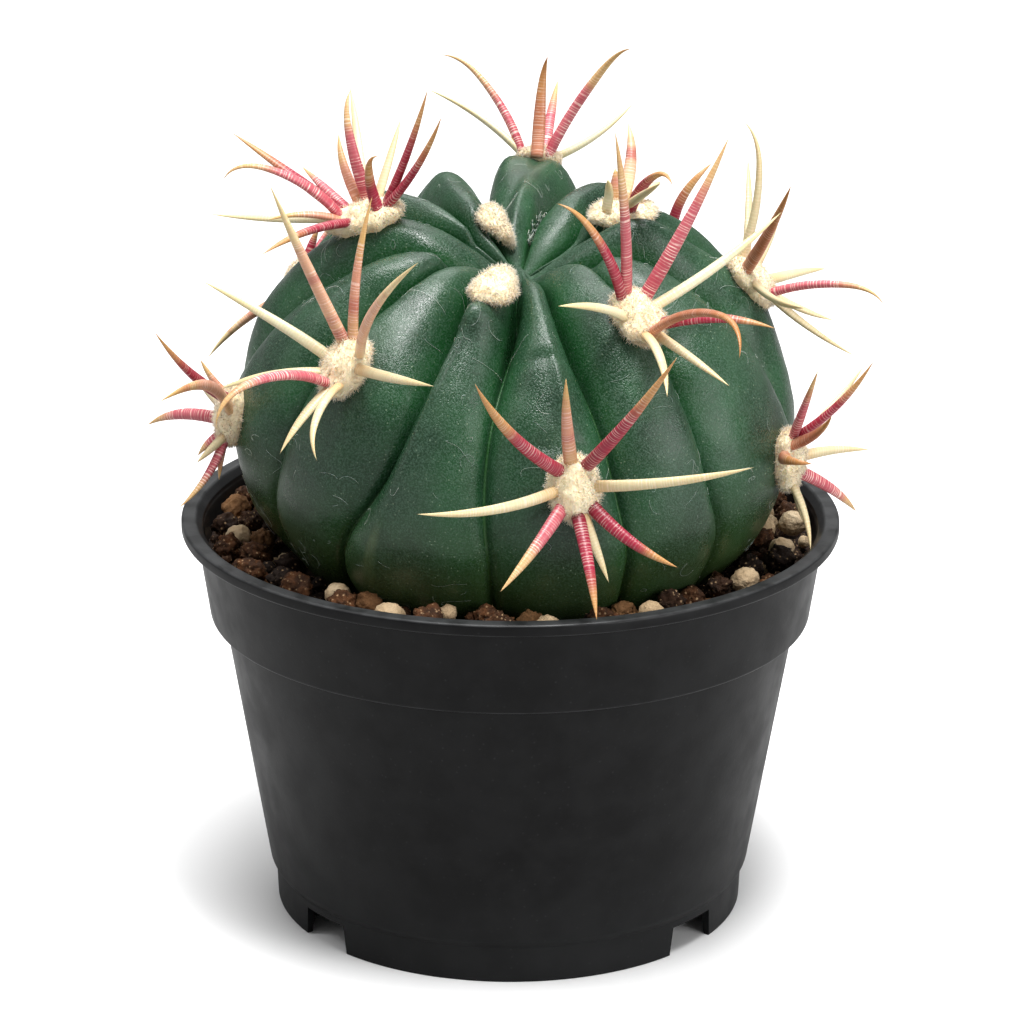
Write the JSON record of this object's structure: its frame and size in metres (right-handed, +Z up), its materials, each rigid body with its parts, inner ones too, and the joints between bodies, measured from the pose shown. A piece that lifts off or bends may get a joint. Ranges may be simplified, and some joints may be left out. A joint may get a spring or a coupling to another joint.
{
  "type": "potted round cactus",
  "caption": "Round ribbed cactus with heavy curved spines, standing in a plain plastic nursery pot of gritty soil, as a free-standing house plant.",
  "frame": {"origin": "on the ground, on the pot's axis, which passes within 1 mm of the middle of the bounding box's floor", "axes": "+Z up along the pot's axis; -Y towards the side seen in the picture; +X to the viewer's right"},
  "size_m": [0.1318, 0.1331, 0.1549],
  "materials": {
    "pot_plastic": "moulded black plastic, satin, lightly scuffed",
    "grit": "dry baked-clay and pumice grains, brown with pale ones",
    "stem_skin": "waxy dark blue-green skin with a fine pale speckle",
    "wool": "short felted cream wool",
    "spine_horn": "ringed horn, crimson and pink at the root, cream and brown at the tip"
  },
  "bodies": {
    "root": {"pot": "pot_plastic", "soil": "grit", "stem": "stem_skin", "crown_wool_0": "wool", "crown_wool_1": "wool", "spine_cluster_2": "spine_horn", "spine_cluster_3": "spine_horn", "spine_cluster_4": "spine_horn", "spine_cluster_5": "spine_horn", "spine_cluster_6": "spine_horn", "spine_cluster_7": "spine_horn", "spine_cluster_8": "spine_horn", "spine_cluster_9": "spine_horn", "spine_cluster_10": "spine_horn", "spine_cluster_11": "spine_horn", "spine_cluster_12": "spine_horn"}
  },
  "joints": []
}
